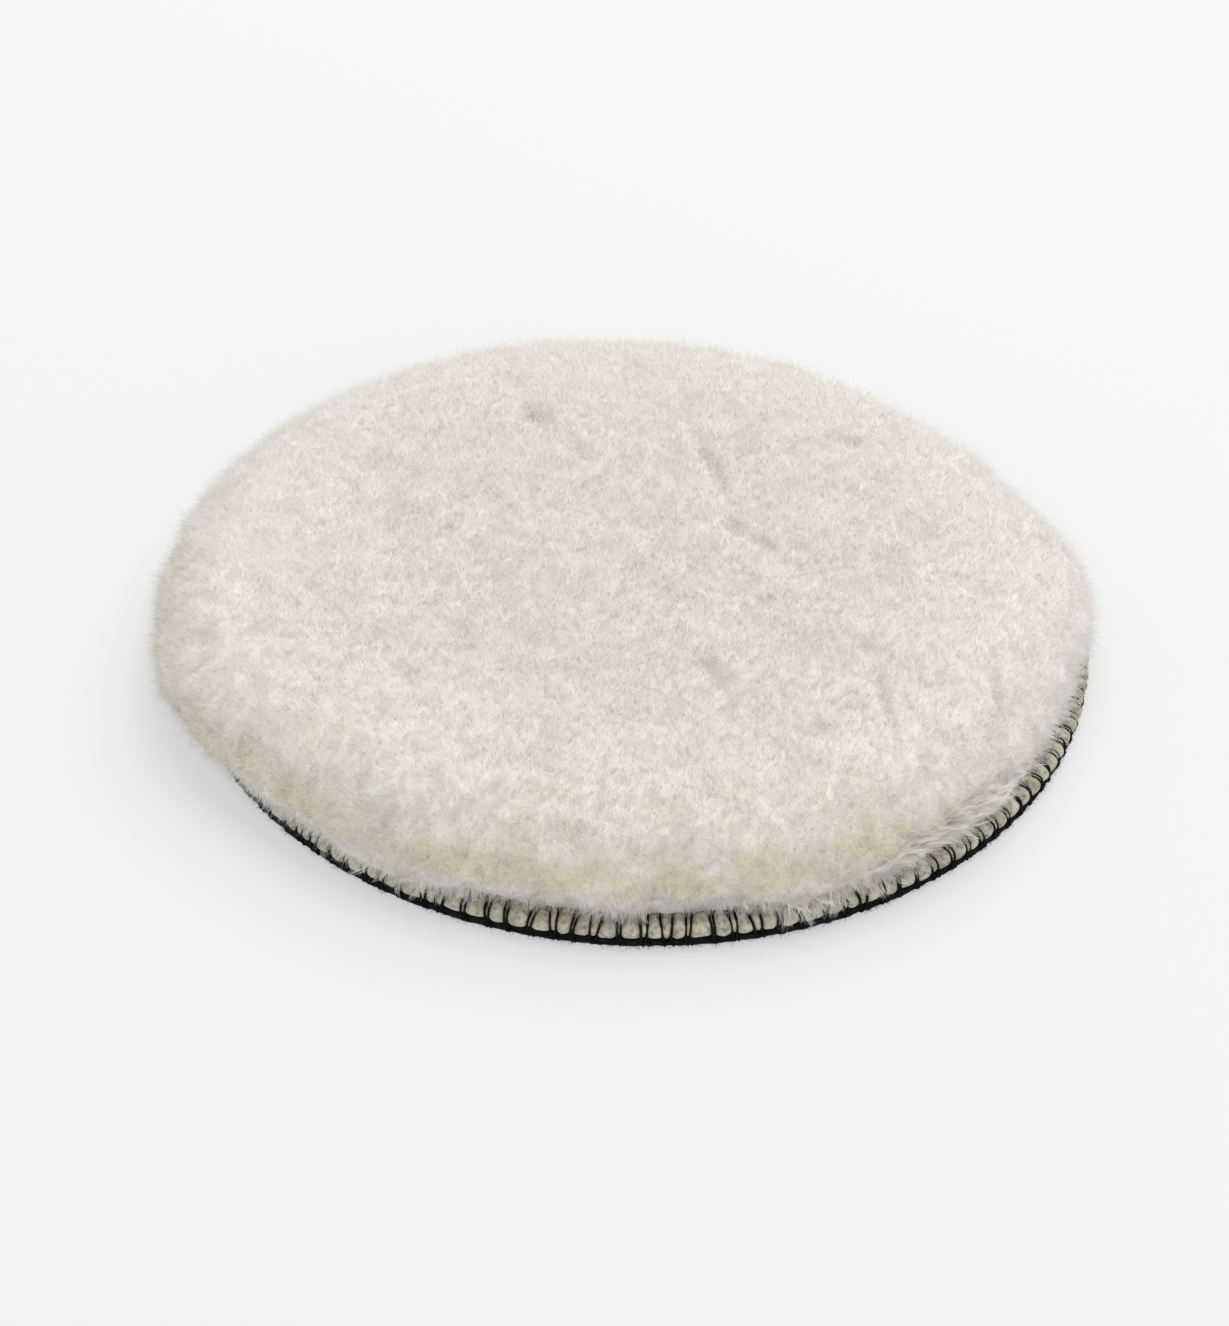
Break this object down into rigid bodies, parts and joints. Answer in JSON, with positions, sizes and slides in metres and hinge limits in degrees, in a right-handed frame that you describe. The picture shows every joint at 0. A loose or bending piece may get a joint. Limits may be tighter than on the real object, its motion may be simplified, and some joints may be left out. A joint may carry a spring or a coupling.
{
  "type": "polishing pad",
  "caption": "Round lambswool polishing pad: sheared fleece on a hide disc, overedge stitched to a black loop backing that grips a hook-faced backing plate.",
  "frame": {"origin": "centre of the loop face, on the plane that the pad lies on", "axes": "+Z from the loop face to the wool's working face, along the pad's round axis; X and Y lie in the loop face"},
  "size_m": [0.155, 0.155, 0.0177],
  "materials": {
    "loop_pile": "black brushed nylon loops, matt and slightly fuzzy",
    "backing_fabric": "black knitted base cloth, matt, with a frayed cut edge",
    "adhesive": "thin film of dried contact adhesive, yellowish, hidden inside",
    "hide": "undyed chrome-tanned sheepskin, cream grey, soft and matt",
    "fleece": "dense sheared lambswool, cream white, very matt with fine curly fibres",
    "thread": "black textured polyester sewing thread, slightly fuzzy"
  },
  "bodies": {
    "root": {"loop_pile": "loop_pile", "backing_fabric": "backing_fabric", "adhesive_film": "adhesive", "hide_disc": "hide", "fleece_pile": "fleece", "needle_thread": "thread", "upper_looper_thread": "thread", "lower_looper_thread": "thread"}
  },
  "joints": []
}
